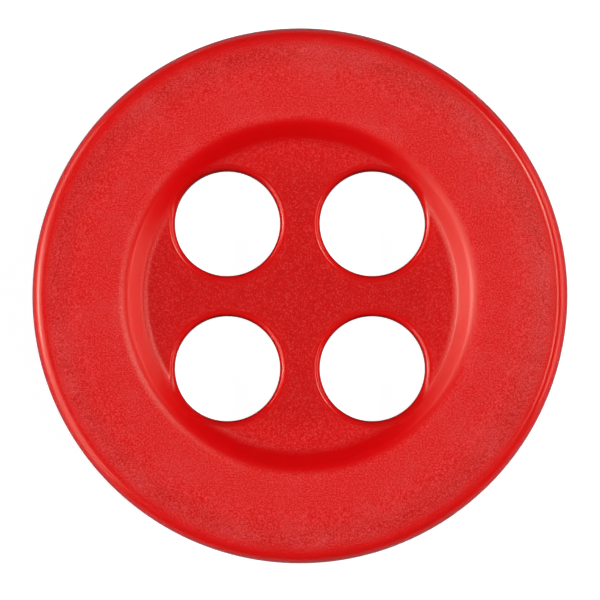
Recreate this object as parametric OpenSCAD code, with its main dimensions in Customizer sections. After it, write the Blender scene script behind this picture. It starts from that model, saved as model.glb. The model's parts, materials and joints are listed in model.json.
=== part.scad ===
// Four-hole sewing button, turned in one piece from cast polyester.
// A broad, slightly crowned ring surrounds a sunken well with four thread holes.
// The button lies on its back: the origin is the centre of the back, and +Z points out of the face.

/* [Blank] */
// Outer diameter, 18 ligne at 40 lignes to the inch
button_d = 11.43; // [10.6:0.01:20]
// Thickness from the back to the top of the ring
button_h = 2.2; // [1.6:0.05:4]
// Radius of the edge between the ring and the side
front_edge_r = 0.28; // [0.1:0.02:0.5]

/* [Ring] */
// How far the ring falls from its top to the outer edge
ring_drop = 0.1; // [0.02:0.02:0.3]
// Radius of the crown across the ring
ring_crown_r = 8; // [2:0.5:12]

/* [Well] */
// Depth of the well below the top of the ring
well_depth = 0.42; // [0.2:0.02:0.8]
// Width of the slope between the ring and the floor, seen from above
slope_w = 0.42; // [0.2:0.02:0.8]
// Radius at the top of the slope, where the ring turns down into the well
lip_r = 0.4; // [0.05:0.01:0.5]
// Radius at the foot of the slope, where it runs out into the floor
foot_r = 0.25; // [0.05:0.01:0.5]

/* [Thread holes] */
// Diameter of a hole
hole_d = 2.25; // [1.2:0.05:2.7]
// Distance between the centres of neighbouring holes
hole_pitch = 3.1; // [2.8:0.05:4]
// Land left on the floor between the holes and the foot of the slope
hole_land = 0.01; // [0:0.01:0.4]
// Radius of a hole's edge on the floor of the well
hole_face_r = 0.1; // [0.02:0.01:0.12]
// Radius of a hole's edge on the back
hole_back_r = 0.1; // [0.02:0.01:0.12]

/* [Back] */
// Width of the bevel round the flat of the back, seen from below
bevel_w = 1.5; // [0.8:0.05:1.8]
// Height of the bevel at the side of the button
bevel_h = 0.55; // [0.2:0.05:0.8]
// Radius where the flat of the back turns into the bevel
bevel_foot_r = 1.5; // [0.2:0.1:3]
// Radius of the edge between the bevel and the side
back_edge_r = 0.4; // [0.1:0.05:0.6]

/* [Hidden] */
$fn = 128;
dyed_red = [0.84, 0.16, 0.15];
// Angle between the flank of a hole's mouth and the hole's axis
flank_draft = 20;

// Circles of the face and the back, from the holes outwards and from the rim inwards
button_r = button_d / 2;
hole_r = hole_d / 2;
hole_reach = hole_pitch / sqrt(2) + hole_r;
floor_r = hole_reach + hole_land;
mouth_r = floor_r + slope_w;
crown_r = (mouth_r + button_r) / 2;
flat_r = button_r - bevel_w;
floor_z = button_h - well_depth;

// The half section's corners as [distance from the axis, height, corner radius], from the back up
section = [
    [0, 0, 0],
    [flat_r, 0, bevel_foot_r],
    [button_r, bevel_h, back_edge_r],
    [button_r, button_h - ring_drop, front_edge_r],
    [crown_r, button_h, ring_crown_r],
    [mouth_r, button_h, lip_r],
    [floor_r, floor_z, foot_r],
    [0, floor_z, 0]
];

function point(corner) = [corner.x, corner.y];
function unit(v) = v / norm(v);
function turn(a, b) = a.x * b.y - a.y * b.x;

// Half the angle of the corner at b, between the sides to a and c
function half_angle(a, b, c) = acos(unit(a - b) * unit(c - b)) / 2;

// A corner's radius, limited so that its arc takes at most half of either side
function held_radius(a, b, c, r) =
    min(r, tan(half_angle(a, b, c)) * min(norm(a - b), norm(c - b)) / 2);

// What an arc of radius r takes off the sharp corner at b, or fills in where the corner is hollow
module corner_scrap(a, b, c, r) {
    half = half_angle(a, b, c);
    reach = r / tan(half);
    centre = b + unit(unit(a - b) + unit(c - b)) * r / sin(half);
    difference() {
        polygon([b, b + unit(a - b) * reach, centre, b + unit(c - b) * reach]);
        translate(centre) circle(r);
    }
}

// The scraps of all corners that turn the given way: 1 for outer corners, -1 for hollow ones
module corner_scraps(corners, way) {
    for (i = [1 : len(corners) - 2]) {
        a = point(corners[i - 1]);
        b = point(corners[i]);
        c = point(corners[i + 1]);
        if (turn(b - a, c - b) * way > 0)
            corner_scrap(a, b, c, held_radius(a, b, c, corners[i].z));
    }
}

// A section with true arcs at its corners
module rounded_section(corners) {
    difference() {
        union() {
            polygon([for (corner = corners) point(corner)]);
            corner_scraps(corners, -1);
        }
        corner_scraps(corners, 1);
    }
}

// Cutter for one thread hole: its bore and the rounded edges on the floor and on the back
module hole_cutter() {
    top = button_h + hole_d;
    translate([0, 0, -hole_d]) cylinder(r = hole_r, h = top + hole_d);
    rotate_extrude() mouth_section(hole_face_r, floor_z, 1);
    rotate_extrude() mouth_section(hole_back_r, 0, -1);
}

// Half section of a hole's mouth with edge radius r, in a face at height z that looks up (1) or down (-1).
// Beyond the face its flank opens outwards, which clears the foot of the slope next to the hole.
module mouth_section(r, z, way) {
    rim_r = hole_r + r;
    translate([0, z]) mirror([0, way > 0 ? 0 : 1]) {
        difference() {
            polygon([
                [0, -r],
                [rim_r, -r],
                [rim_r, 0],
                [rim_r + well_depth * tan(flank_draft), well_depth],
                [0, well_depth]
            ]);
            translate([rim_r, -r]) circle(r);
        }
    }
}

module button() {
    color(dyed_red)
    difference() {
        rotate_extrude() rounded_section(section);
        for (x = [-1, 1], y = [-1, 1])
            translate([x, y, 0] * hole_pitch / 2) hole_cutter();
    }
}

button();
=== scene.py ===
# %% [markdown]
# # A red four-hole sewing button
#
# This lesson dresses one small sewing button: a disc of red cast plastic with a broad ring, a sunken
# well and four thread holes. The engineering model gives its true size and place. Here the same button
# is turned again as a finer mesh, the way a lathe and a drill make the real one, and is then given its
# satin finish, a light table to lie on and a studio camera that looks straight down.

# %% Load the engineering model
import json
import math
from types import SimpleNamespace

import bmesh
import bpy
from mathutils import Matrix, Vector


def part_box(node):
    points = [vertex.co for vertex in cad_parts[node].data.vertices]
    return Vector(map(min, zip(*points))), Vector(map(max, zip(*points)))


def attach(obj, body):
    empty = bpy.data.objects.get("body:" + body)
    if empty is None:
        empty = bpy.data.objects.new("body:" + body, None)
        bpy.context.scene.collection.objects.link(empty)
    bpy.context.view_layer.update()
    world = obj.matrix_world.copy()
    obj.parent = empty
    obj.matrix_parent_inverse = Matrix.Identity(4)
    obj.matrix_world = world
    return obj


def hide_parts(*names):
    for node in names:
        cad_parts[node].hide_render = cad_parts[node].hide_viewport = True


MM = 0.001

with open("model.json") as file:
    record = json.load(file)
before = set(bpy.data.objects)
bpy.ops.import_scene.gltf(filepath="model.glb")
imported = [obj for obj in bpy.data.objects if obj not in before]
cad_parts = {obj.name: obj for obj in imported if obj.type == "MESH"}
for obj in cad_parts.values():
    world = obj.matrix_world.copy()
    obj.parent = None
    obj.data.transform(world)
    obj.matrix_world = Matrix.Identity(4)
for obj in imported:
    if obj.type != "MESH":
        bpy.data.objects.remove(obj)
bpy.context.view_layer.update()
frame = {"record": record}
low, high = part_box("button")
print("button measures", [round(side / MM, 3) for side in high - low], "mm")

# %% [markdown]
# The button is only 11 mm wide, so all modelling below is done in millimetres, where the numbers are
# easy to read, and each finished mesh is scaled down to metres in one step at the end. The outer size
# and the holes come from the engineering model, so the mesh can't drift away from it.

# %% Sizes taken from the engineering model
BUTTON_R = (high.x - low.x) / 2 / MM
BUTTON_H = (high.z - low.z) / MM
thread_holes = [m for m in frame["record"]["mounts"] if m["kind"] == "bore"]
HOLE_R = thread_holes[0]["dims"]["r_mm"]
HOLE_CENTRES = [Vector((m["pos_m"][0] / MM, m["pos_m"][1] / MM, 0)) for m in thread_holes]
HOLE_REACH = HOLE_CENTRES[0].length + HOLE_R
print("radius", round(BUTTON_R, 3), "height", round(BUTTON_H, 3), "holes reach", round(HOLE_REACH, 3))

# %% [markdown]
# The photograph was taken from straight above with a long lens, and the button fills most of the
# frame. A camera could be shifted to place the button in the picture, but aiming it at a point a
# little off the button's centre does the same and leaves the lens plain. The lens follows from the
# field that the picture covers at the height of the ring.

# %% Camera
IMAGE_PX = 600
BUTTON_RADIUS_PX = 267.2
BUTTON_CENTRE_PX = (299.9, 296.1)
CAMERA_DISTANCE = 0.5
CAMERA_ELEVATION = math.radians(89.5)
SENSOR_MM = 36
CLIP_START = 0.001

mm_per_px = BUTTON_R / BUTTON_RADIUS_PX
field = IMAGE_PX * mm_per_px * MM
aim = Vector((
    (IMAGE_PX / 2 - BUTTON_CENTRE_PX[0]) * mm_per_px * MM,
    (BUTTON_CENTRE_PX[1] - IMAGE_PX / 2) * mm_per_px * MM,
    (low.z + high.z) / 2,
))
sight = Vector((0, math.cos(CAMERA_ELEVATION), -math.sin(CAMERA_ELEVATION)))
lens = bpy.data.cameras.new("studio_camera")
lens.sensor_width = SENSOR_MM
lens.lens = SENSOR_MM * CAMERA_DISTANCE / field
lens.clip_start = CLIP_START
camera = bpy.data.objects.new("studio_camera", lens)
camera.location = aim - sight * CAMERA_DISTANCE
camera.rotation_euler = sight.to_track_quat("-Z", "Y").to_euler()
bpy.context.scene.collection.objects.link(camera)
bpy.context.scene.camera = camera
print("lens", round(lens.lens), "mm, field", round(field / MM, 2), "mm")

# %% [markdown]
# On the real button every corner of the section is rounded: by the turning tool, and then by hours in
# a tumbling barrel. The section is drawn as a few sharp corners joined by edges, each corner with the
# radius it gets, and a vertex bevel rounds them. Bevelling the two-dimensional section is better than
# bevelling the finished solid: the arcs stay even, and no edge of the solid has to be found again.

# %% Corners of the half section
RING_DROP = 0.1
RING_CROWN_R = 8.0
FRONT_EDGE_R = 0.28
WELL_DEPTH = 0.42
SLOPE_W = 0.42
LIP_R = 0.4
FOOT_R = 0.25
HOLE_LAND = 0.01
BEVEL_W = 1.5
BEVEL_H = 0.55
BEVEL_FOOT_R = 1.5
BACK_EDGE_R = 0.4

FLOOR_R = HOLE_REACH + HOLE_LAND
MOUTH_R = FLOOR_R + SLOPE_W
CROWN_R = (MOUTH_R + BUTTON_R) / 2
BACK_FLAT_R = BUTTON_R - BEVEL_W
FLOOR_Z = BUTTON_H - WELL_DEPTH
# Each corner is its distance from the axis, its height and its radius, from the back up
SECTION = [
    (0, 0, 0),
    (BACK_FLAT_R, 0, BEVEL_FOOT_R),
    (BUTTON_R, BEVEL_H, BACK_EDGE_R),
    (BUTTON_R, BUTTON_H - RING_DROP, FRONT_EDGE_R),
    (CROWN_R, BUTTON_H, RING_CROWN_R),
    (MOUTH_R, BUTTON_H, LIP_R),
    (FLOOR_R, FLOOR_Z, FOOT_R),
    (0, FLOOR_Z, 0),
]
print("well", round(2 * FLOOR_R, 2), "to", round(2 * MOUTH_R, 2), "mm across,", WELL_DEPTH, "mm deep")

# %% [markdown]
# A helper draws such a section as a wire and rounds it. A vertex bevel is told how far along the edges
# it starts, not its radius, so the helper works that out from the angle of the corner. It then cuts
# the long straight runs into short steps: smooth shading blends normals across a whole face, and one
# wide flat face next to a tight arc would look dented.

# %% Rounded wire section
ARC_STEPS = 12
RUN_STEP = 0.12


def bevel_reach(before, corner, after, radius):
    """How far from the corner an arc of this radius starts, at most half of either side."""
    one = before - corner
    two = after - corner
    reach = radius / math.tan(one.angle(two) / 2)
    return min(reach, one.length / 2, two.length / 2)


def rounded_wire(corners):
    """A bmesh with the section as a wire in the XZ plane, its corners rounded and its runs divided."""
    bm = bmesh.new()
    points = [Vector((x, 0, z)) for x, z, radius in corners]
    verts = [bm.verts.new(point) for point in points]
    for one, two in zip(verts, verts[1:]):
        bm.edges.new((one, two))
    for i in range(1, len(corners) - 1):
        radius = corners[i][2]
        if radius > 0:
            reach = bevel_reach(points[i - 1], points[i], points[i + 1], radius)
            bmesh.ops.bevel(
                bm, geom=[verts[i]], affect="VERTICES", offset=reach, offset_type="OFFSET",
                segments=ARC_STEPS, profile=0.5, material=-1,
            )
    for edge in [e for e in bm.edges if e.calc_length() > 2 * RUN_STEP]:
        cuts = int(edge.calc_length() / RUN_STEP)
        bmesh.ops.subdivide_edges(bm, edges=[edge], cuts=cuts)
    return bm


section = rounded_wire(SECTION)
print("section has", len(section.verts), "points")

# %% [markdown]
# A lathe sweeps the tool's section once round the axis, and `spin` does the same with a wire. A full
# spin has to merge its last step with its first, and the ends of the wire that lie on the axis leave a
# copy at every step, so those doubles are merged before the normals are turned outwards.

# %% Turned blank
LATHE_STEPS = 192
MERGE = 1e-4


def turned(bm, steps):
    """Spins a wire in the XZ plane into a closed solid round the Z axis."""
    bmesh.ops.spin(
        bm, geom=bm.verts[:] + bm.edges[:], cent=(0, 0, 0), axis=(0, 0, 1), dvec=(0, 0, 0),
        angle=2 * math.pi, steps=steps, use_merge=True, use_duplicate=False,
    )
    bmesh.ops.remove_doubles(bm, verts=bm.verts[:], dist=MERGE)
    bmesh.ops.recalc_face_normals(bm, faces=bm.faces[:])
    return bm


def as_object(bm, name):
    """Puts a bmesh into the scene as an object at the origin."""
    mesh = bpy.data.meshes.new(name)
    bm.to_mesh(mesh)
    bm.free()
    piece = bpy.data.objects.new(name, mesh)
    bpy.context.scene.collection.objects.link(piece)
    return piece


blank = as_object(turned(section, LATHE_STEPS), "blank")
print("blank has", len(blank.data.polygons), "faces")

# %% [markdown]
# The thread holes are drilled, and their edges are broken so that they don't cut the thread. One
# cutter has the hole's wall and a rounded flare at either face. The highlights in the photograph ask
# for an upper edge that is a few hundredths of a millimetre rounder than in the engineering model. The
# holes reach the foot of the slope, where the floor starts to rise, so there the upper flare is lifted
# with it: the edge then stays round all the way. The flare stops a hair above the face, so that the
# two surfaces cross instead of touching, which a boolean needs.

# %% Hole cutters
HOLE_FACE_R = 0.14
HOLE_BACK_R = 0.1
FLARE_BITE = 0.003
FLANK_H = 0.5
FLANK_W = 0.18
DRILL_STEPS = 96

slope_angle = math.atan2(WELL_DEPTH, SLOPE_W)
foot_start = FLOOR_R - FOOT_R * math.tan(slope_angle / 2)


def foot_rise(distance):
    """How far the face stands above the floor here: along the foot's arc, then up the slope."""
    run = max(distance - foot_start, 0)
    arc_run = min(run, FOOT_R * math.sin(slope_angle))
    arc_rise = FOOT_R - math.sqrt(FOOT_R ** 2 - arc_run ** 2)
    return arc_rise + (run - arc_run) * math.tan(slope_angle)


def hole_cutter(centre):
    """A closed cutter for the thread hole at this centre."""
    top = FLOOR_Z + FLARE_BITE
    bottom = -FLARE_BITE
    bm = turned(rounded_wire([
        (0, bottom - FLANK_H, 0),
        (HOLE_R + HOLE_BACK_R + FLANK_W, bottom - FLANK_H, 0),
        (HOLE_R + 2 * HOLE_BACK_R, bottom, 0),
        (HOLE_R, bottom, HOLE_BACK_R),
        (HOLE_R, top, HOLE_FACE_R),
        (HOLE_R + 2 * HOLE_FACE_R, top, 0),
        (HOLE_R + HOLE_FACE_R + FLANK_W, top + FLANK_H, 0),
        (0, top + FLANK_H, 0),
    ]), DRILL_STEPS)
    bmesh.ops.translate(bm, verts=bm.verts[:], vec=centre)
    for vert in bm.verts:
        if vert.co.z > FLOOR_Z - 2 * HOLE_FACE_R:
            vert.co.z += foot_rise(vert.co.xy.length)
    return bm


cutters = [as_object(hole_cutter(centre), "cutter") for centre in HOLE_CENTRES]
print(len(cutters), "cutters of", len(cutters[0].data.polygons), "faces")

# %% [markdown]
# Drilling is a boolean difference, one for each hole. The modifiers are only a tool here, so their
# result is read back as a plain mesh, the blank and the cutters are thrown away, and the mesh is
# brought to metres. All faces are shaded smooth: every edge on a tumbled button is round.

# %% Drilled button
for cutter in cutters:
    drill = blank.modifiers.new("drill", "BOOLEAN")
    drill.operation = "DIFFERENCE"
    drill.solver = "EXACT"
    drill.object = cutter
drilled = bpy.data.meshes.new_from_object(blank.evaluated_get(bpy.context.evaluated_depsgraph_get()))
for helper in [blank, *cutters]:
    bpy.data.objects.remove(helper)

bm = bmesh.new()
bm.from_mesh(drilled)
bmesh.ops.remove_doubles(bm, verts=bm.verts[:], dist=MERGE)
open_edges = sum(not e.is_manifold for e in bm.edges)
print("drilled:", len(bm.faces), "faces,", open_edges, "open edges,", round(bm.calc_volume(), 2), "mm3")
for face in bm.faces:
    face.smooth = True
bmesh.ops.scale(bm, verts=bm.verts[:], vec=(MM, MM, MM))
button = as_object(bm, "red_button")

# %% [markdown]
# Shader maths reads best as plain expressions. One small class wraps a socket: its operators add Math
# nodes, and its `node` method adds any other node from a type, settings and sockets. Two helpers serve
# the commonest cases, a smooth step and a mix of colours.

# %% Shader expressions
class Shade:
    """A socket of a node tree, with operators that add Math nodes."""

    def __init__(self, tree, socket=None):
        self.tree = tree
        self.socket = socket

    def node(self, kind, settings=None, sockets=None, out=0):
        """Adds a node, sets it up, fills or links its inputs, and wraps one of its outputs."""
        node = self.tree.nodes.new(kind)
        for name, value in (settings or {}).items():
            setattr(node, name, value)
        for key, value in (sockets or {}).items():
            if isinstance(value, Shade):
                self.tree.links.new(value.socket, node.inputs[key])
            else:
                node.inputs[key].default_value = value
        return Shade(self.tree, node.outputs[out])

    def math(self, operation, one, two):
        return self.node("ShaderNodeMath", {"operation": operation}, {0: one, 1: two})

    def __add__(self, other):
        return self.math("ADD", self, other)

    def __radd__(self, other):
        return self.math("ADD", other, self)

    def __sub__(self, other):
        return self.math("SUBTRACT", self, other)

    def __rsub__(self, other):
        return self.math("SUBTRACT", other, self)

    def __mul__(self, other):
        return self.math("MULTIPLY", self, other)

    def __rmul__(self, other):
        return self.math("MULTIPLY", other, self)

    def ramp(self, start, end):
        """Runs smoothly from 0 at start to 1 at end."""
        return self.node(
            "ShaderNodeMapRange",
            {"interpolation_type": "SMOOTHSTEP"},
            {"Value": self, "From Min": start, "From Max": end},
        )


def colour_mix(factor, one, two):
    """Mixes two colours, each a socket or a plain colour."""
    return factor.node(
        "ShaderNodeMix", {"data_type": "RGBA"}, {"Factor": factor, "A": one, "B": two}, out=2
    )


print("shader helpers:", [name for name in vars(Shade) if not name.startswith("_")], colour_mix.__name__)

# %% [markdown]
# The plastic is dyed right through, but its finish isn't the same everywhere. Tumbling with grit leaves
# a fine frost on the floor of the well and on the ring. The slope between them is smoother, and the
# tool's own finish with its faint lathe lines stays on the rim, the side, the holes with their edges,
# and the back. Each zone could be a material of its own, but then it would end in a hard line along
# the faces. Instead, masks that run smoothly from 0 to 1 are worked out from the distance to the axis,
# the distance to the nearest hole, and the height.

# %% Zones of the finish
# Where each mask starts and ends: heights, distances from a hole's centre, distances from the axis
FACE_START = (FLOOR_Z - 0.35, FLOOR_Z - 0.15)
HOLE_WALL_END = (HOLE_R, HOLE_R + 0.05)
HOLE_EDGE_END = (HOLE_R + 0.09, HOLE_R + 0.18)
FLOOR_END = (FLOOR_R - 0.08, FLOOR_R + 0.12)
RING_START = (MOUTH_R - 0.05, MOUTH_R + 0.15)
RING_END = (BUTTON_R - 0.42, BUTTON_R - 0.14)
SIDE_START = (BUTTON_R - 0.09, BUTTON_R)
HOLE_CORNER = [abs(side) for side in HOLE_CENTRES[0]]


def zones(shade):
    """The place in millimetres, its distance from the axis, its height, and a mask for each zone."""
    object_place = shade.node("ShaderNodeTexCoord", out="Object")
    place = shade.node(
        "ShaderNodeVectorMath", {"operation": "SCALE"}, {0: object_place, "Scale": 1 / MM}
    )
    flat = shade.node("ShaderNodeVectorMath", {"operation": "MULTIPLY"}, {0: place, 1: (1, 1, 0)})
    distance = shade.node("ShaderNodeVectorMath", {"operation": "LENGTH"}, {0: flat}, out="Value")
    height = shade.node("ShaderNodeSeparateXYZ", None, {0: place}, out="Z")
    # All four holes fold onto the one in the corner where X and Y are positive
    folded = shade.node("ShaderNodeVectorMath", {"operation": "ABSOLUTE"}, {0: flat})
    from_hole = shade.node(
        "ShaderNodeVectorMath", {"operation": "DISTANCE"}, {0: folded, 1: HOLE_CORNER}, out="Value"
    )
    face = height.ramp(*FACE_START) * from_hole.ramp(*HOLE_EDGE_END)
    tooled = 1 - face * (1 - distance.ramp(*RING_END))
    floor = face * (1 - distance.ramp(*FLOOR_END))
    ring = distance.ramp(*RING_START) * (1 - tooled)
    frosted = floor + ring
    # The steep walls of the side and the holes, which are painted darker as painted shade
    wall = 1 - (1 - distance.ramp(*SIDE_START)) * from_hole.ramp(*HOLE_WALL_END)
    return SimpleNamespace(
        place=place, distance=distance, height=height, floor=floor, ring=ring, frosted=frosted,
        slope=1 - tooled - frosted, tooled=tooled, wall=wall,
    )


print("frost on the ring from", round(RING_START[0], 2), "to", round(RING_END[1], 2), "mm off the axis")

# %% [markdown]
# Frost isn't even. Close up it is a fine grain with a few brighter specks, from further off it gathers
# in mottles and slow clouds, and it is paler in patches where the ring's two edges have been rubbed. A
# picture of a worn surface could show this, but one noise for each size of detail needs no picture and
# has no seams. A noise that is fed only with distance and height can't change round the axis, so it
# draws the lathe lines.

# %% Grain, wear and lathe lines
# Details along a millimetre, layers of finer detail on top, and how strong those layers are
GRAIN = (30, 2, 0.6)
SPECKS = (17, 1, 0.5)
MOTTLES = (4, 3, 0.5)
CLOUDS = (0.9, 2, 0.5)
LATHE_LINES = (14, 2, 0.5)
# Only the noise's peaks are specks, and only the brighter clouds are worn
SPECK_PEAKS = (0.16, 0.3)
WORN_CLOUDS = (-0.08, 0.18)
RUBBED_LIP_END = (MOUTH_R + 0.1, MOUTH_R + 0.45)
# The ring is worn towards the rim, and painted shade darkens it there too
RIM_WEAR_AND_SHADE_START = (BUTTON_R - 1.0, BUTTON_R - 0.45)


def noise(vector, scale, detail, roughness):
    """Noise about 0, from a vector in millimetres."""
    sockets = {"Vector": vector, "Scale": scale, "Detail": detail, "Roughness": roughness}
    return vector.node("ShaderNodeTexNoise", None, sockets) - 0.5


def marks(zone):
    """Noises that frost, wear and the lathe leave, and a ramp to the rim for wear and painted shade."""
    cloud = noise(zone.place, *CLOUDS)
    by_rim = zone.distance.ramp(*RIM_WEAR_AND_SHADE_START)
    by_lip = 1 - zone.distance.ramp(*RUBBED_LIP_END)
    along_tool = zone.place.node("ShaderNodeCombineXYZ", None, {"X": zone.distance, "Y": zone.height})
    return SimpleNamespace(
        grain=noise(zone.place, *GRAIN),
        specks=noise(zone.place, *SPECKS).ramp(*SPECK_PEAKS),
        mottle=noise(zone.place, *MOTTLES),
        cloud=cloud,
        by_rim=by_rim,
        worn=zone.ring * (by_rim + by_lip) * cloud.ramp(*WORN_CLOUDS),
        lathe_lines=noise(along_tool, *LATHE_LINES),
    )


print("a grain is about", round(1 / GRAIN[0], 3), "mm wide")

# %% [markdown]
# One dye shows as several reds: clear on the slope and deeper on the floor. Painted light makes the
# floor lighter towards the foot of the slope, where the slopes would bounce light; painted shade darkens
# the ring towards the rim and makes the steep walls of the side and the holes darkest. The frost lies
# over them as two paler reds. The paler grain is partly the frost's own colour and partly painted glints
# and sheen; it follows the grain and the specks, and haze follows the mottles and clouds. Painting each
# zone by hand would fix the pattern to one mesh; mixing by masks keeps it tied to the button's own
# sizes.

# %% Colour of the plastic
FLOOR_RED = (0.625, 0.0, 0.001, 1)
SLOPE_RED = (0.72, 0.0, 0.002, 1)
RING_RED = (0.69, 0.0, 0.001, 1)
# Painted shade: the red that the ring darkens to towards the rim
RIM_SHADE_RED = (0.585, 0.0, 0.001, 1)
TOOLED_RED = (0.68, 0.006, 0.007, 1)
# Painted shade on the steep walls of the side and the holes
WALL_SHADE_RED = (0.42, 0.004, 0.005, 1)
# Pale frost, partly painted glints and sheen
FROST_AND_GLINT = (1.0, 0.12, 0.144, 1)
HAZE = (0.74, 0.09, 0.11, 1)
# Strength of frost paleness with painted glints and sheen, and of haze, on floor, ring and worn ring
EVEN_FROST_AND_SHEEN = (0.02, 0.18, 0.06)
GRAIN_FROST_AND_GLINTS = (1.65, 1.85, 0.5)
SPECK_FROST_AND_GLINTS = (0.1, 0.3, 0.2)
EVEN_HAZE = (-0.13, 0.02, 0.05)
# Painted sheen: how much paler the floor is painted near the foot of the slope
FOOT_PAINTED_SHEEN = 0.07
MOTTLE_HAZE = 0.5
CLOUD_HAZE = 0.7
# Where the floor is painted lighter towards the foot, as painted light bounced from the slopes
FOOT_LIGHT_BLEND = (FLOOR_R - 1.1, FLOOR_R)


def dyed_colour(zone, mark):
    """The base colour all over the button."""
    def strength(floor, ring, worn):
        return floor * zone.floor + ring * zone.ring + worn * mark.worn

    # Painted light: the floor turns lighter and paler towards the foot of the slope
    foot_painted_light = zone.distance.ramp(*FOOT_LIGHT_BLEND)
    # Pale frost grain with painted glints and sheen, and more painted sheen near the foot
    frost_and_glints = strength(*EVEN_FROST_AND_SHEEN) + FOOT_PAINTED_SHEEN * foot_painted_light * zone.floor
    frost_and_glints += strength(*GRAIN_FROST_AND_GLINTS) * mark.grain + strength(*SPECK_FROST_AND_GLINTS) * mark.specks
    hazy = strength(*EVEN_HAZE) + zone.frosted * (MOTTLE_HAZE * mark.mottle + CLOUD_HAZE * mark.cloud)
    well = colour_mix(foot_painted_light, FLOOR_RED, SLOPE_RED)
    # Painted shade: the ring darkens towards the rim
    ring = colour_mix(mark.by_rim, RING_RED, RIM_SHADE_RED)
    face = colour_mix(zone.ring, well, ring)
    # Painted shade: the steep walls of the side and the holes are painted darkest
    plain = colour_mix(zone.wall, colour_mix(zone.tooled, face, TOOLED_RED), WALL_SHADE_RED)
    return colour_mix(hazy, colour_mix(frost_and_glints, plain, FROST_AND_GLINT), HAZE)


print("reds of the ring:", RING_RED[:3], "to", RIM_SHADE_RED[:3])

# %% [markdown]
# Satin plastic mirrors a little light and lets the rest in. That comes out again a fraction of a
# millimetre further on, most of all in red, and a short subsurface radius gives the slopes their deep,
# saturated tone. The grain also drives a small bump, so that it glints when the button is turned. Seen
# from a low angle, a plain glossy shader would mirror a softbox over the whole face as one white sheet.
# Real frost breaks that up, so Layer Weight makes the frosted zones rougher towards low angles.

# %% Red satin plastic
ROUGHNESS = 0.28
ROUGHER_FLOOR = 0.06
ROUGHER_RING = 0.08
SMOOTHER_TOOLED = 0.08
ROUGHER_GLANCING = 0.5
GLANCING = (0.35, 0.75)
PLASTIC_IOR = 1.46
SLOPE_RELIEF = 0.8
LATHE_RELIEF = 0.5
RELIEF_STRENGTH = 0.6
SCATTER_SHARE = 0.8
SCATTER_RADII = (1.0, 0.1, 0.08)
# In metres
RELIEF_DEPTH = 0.00001
SCATTER_REACH = 0.0005


def new_material(name):
    """A material with an empty node tree, and its output node."""
    material = bpy.data.materials.new(name)
    material.use_nodes = True
    tree = material.node_tree
    tree.nodes.clear()
    return material, tree, tree.nodes.new("ShaderNodeOutputMaterial")


def red_plastic():
    material, tree, output = new_material("red_satin_plastic")
    shade = Shade(tree)
    zone = zones(shade)
    mark = marks(zone)
    roughness = ROUGHNESS + ROUGHER_FLOOR * zone.floor + ROUGHER_RING * zone.ring
    roughness -= SMOOTHER_TOOLED * zone.tooled
    glancing = shade.node("ShaderNodeLayerWeight", out="Facing").ramp(*GLANCING)
    relief = mark.grain * (zone.frosted + SLOPE_RELIEF * zone.slope)
    relief += LATHE_RELIEF * mark.lathe_lines * zone.tooled
    bump = {"Strength": RELIEF_STRENGTH, "Distance": RELIEF_DEPTH, "Height": relief}
    surface = shade.node("ShaderNodeBsdfPrincipled", None, {
        "Base Color": dyed_colour(zone, mark),
        "Roughness": roughness + ROUGHER_GLANCING * glancing * zone.frosted,
        "IOR": PLASTIC_IOR,
        "Normal": shade.node("ShaderNodeBump", None, bump),
        "Subsurface Weight": SCATTER_SHARE,
        "Subsurface Radius": SCATTER_RADII,
        "Subsurface Scale": SCATTER_REACH,
    })
    tree.links.new(surface.socket, output.inputs["Surface"])
    return material


button.data.materials.append(red_plastic())
print("button painted with", button.data.materials[0].name)

# %% [markdown]
# The button lies on a pale light table, so the holes and the background read white. The table glows
# most under the button, where the studio lights don't reach, and less around it, where a soft shadow
# may show what the button stands on. A glowing sheet would also light the button from below and wash
# out its rim; light linking lets the glow fall on the table alone, which a real studio does with masks
# of black card. The table lies a hair below the button's back, because two faces in one plane flicker.

# %% Light table
TABLE_HALF = 3.0
TABLE_GAP = 0.00001
TABLE_GREY = (0.4, 0.445, 0.555, 1)
TABLE_ROUGHNESS = 0.9
GLOW_UNDER = (0.98, 0.98, 0.98, 1)
GLOW_AROUND = (0.8, 0.8, 0.8, 1)


def light_table():
    material, tree, output = new_material("light_table")
    shade = Shade(tree)
    place = shade.node("ShaderNodeTexCoord", out="Object")
    distance = shade.node("ShaderNodeVectorMath", {"operation": "LENGTH"}, {0: place}, out="Value")
    around = distance.ramp(BACK_FLAT_R * MM, BUTTON_R * MM)
    surface = shade.node("ShaderNodeBsdfPrincipled", None, {
        "Base Color": TABLE_GREY,
        "Roughness": TABLE_ROUGHNESS,
        "Specular IOR Level": 0,
        "Emission Color": colour_mix(around, GLOW_UNDER, GLOW_AROUND),
        "Emission Strength": 1,
    })
    tree.links.new(surface.socket, output.inputs["Surface"])
    return material


sheet = bmesh.new()
bmesh.ops.create_grid(sheet, x_segments=1, y_segments=1, size=TABLE_HALF)
floor = as_object(sheet, "light_table")
floor.location.z = low.z - TABLE_GAP
floor.data.materials.append(light_table())
lit_by_table = bpy.data.collections.new("lit_by_table")
lit_by_table.objects.link(floor)
floor.light_linking.receiver_collection = lit_by_table
print("light table laid at", floor.location.z)

# %% [markdown]
# A small satin thing shows its lights as lines along its rounded edges, so each softbox is placed by
# the line that it draws, by its bearing round the button and its lean from the vertical. On the left a
# long low box with a brighter core and a thin tube draws the rim and the right side of the well, and a
# higher box lights the floor. On the right a low strip draws the rim and the left side of the well, and
# two thin tubes draw fine lines on the lip and on the upper right of the rim. A large fill on the right
# gives more light than any other. It would also show as a broad gleam along the foot of the slope, so
# it is hidden from reflections, which a studio does with polarising filters. The wider of the two thin
# tubes is the other way round: it shows only in reflections.

# %% Softboxes
WARM_WHITE = (1, 0.9, 0.72)
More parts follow.
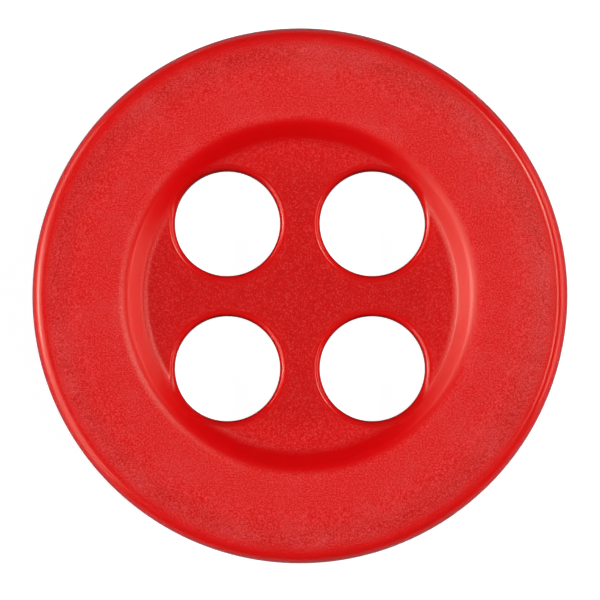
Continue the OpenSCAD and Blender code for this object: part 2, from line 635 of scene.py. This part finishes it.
# Name, bearing and lean in degrees, reach, width and height in metres, and brightness of the cloth
SOFTBOXES = [
    ("left_softbox", 182, 74, 0.4, 0.68, 0.22, 2.4),
    ("left_upper", 196, 49, 0.38, 0.315, 0.18, 2.6),
    ("left_core", 181, 74, 0.38, 0.24, 0.18, 1.5),
    ("left_line", 181, 70, 0.36, 0.1, 0.045, 15.5),
    ("right_fill", 2, 55, 0.4, 0.5, 0.42, 1.95),
    ("right_strip", 4, 78, 0.4, 0.4, 0.17, 2.6),
    ("right_line", 8, 31, 0.38, 0.24, 0.025, 13),
    ("right_core", 28, 37, 0.38, 0.09, 0.025, 30),
]


def softbox(name, bearing, lean, reach, width, height, radiance):
    """An area light that faces the button. Its power follows from the brightness of its cloth."""
    bearing = math.radians(bearing)
    lean = math.radians(lean)
    light = bpy.data.lights.new(name, "AREA")
    light.shape = "RECTANGLE"
    light.size = width
    light.size_y = height
    light.energy = radiance * math.pi * width * height
    light.color = WARM_WHITE
    lamp = bpy.data.objects.new(name, light)
    away = Vector((
        math.sin(lean) * math.cos(bearing), math.sin(lean) * math.sin(bearing), math.cos(lean),
    ))
    lamp.location = away * reach
    lamp.rotation_euler = away.to_track_quat("Z", "Y").to_euler()
    lamp.visible_camera = False
    bpy.context.scene.collection.objects.link(lamp)
    return lamp


lamps = {box[0]: softbox(*box) for box in SOFTBOXES}
lamps["right_fill"].visible_glossy = False
lamps["right_line"].visible_diffuse = False
print("lights:", list(lamps))

# %% [markdown]
# The room itself is almost dark, so that the softboxes keep their shape, but not black, or the sides
# that face away from them would vanish. The plain view transform keeps the saturated red, which a
# filmic one would fade.

# %% Dim room
ROOM_WHITE = (1, 1, 1, 1)
ROOM_STRENGTH = 0.07

world = bpy.data.worlds.new("studio")
world.use_nodes = True
room = world.node_tree.nodes["Background"]
room.inputs["Color"].default_value = ROOM_WHITE
room.inputs["Strength"].default_value = ROOM_STRENGTH
bpy.context.scene.world = world
bpy.context.scene.view_settings.view_transform = "Standard"
print("room lit at", ROOM_STRENGTH)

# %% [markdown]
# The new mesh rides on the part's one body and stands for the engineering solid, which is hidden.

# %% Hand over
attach(button, "root")
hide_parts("button")
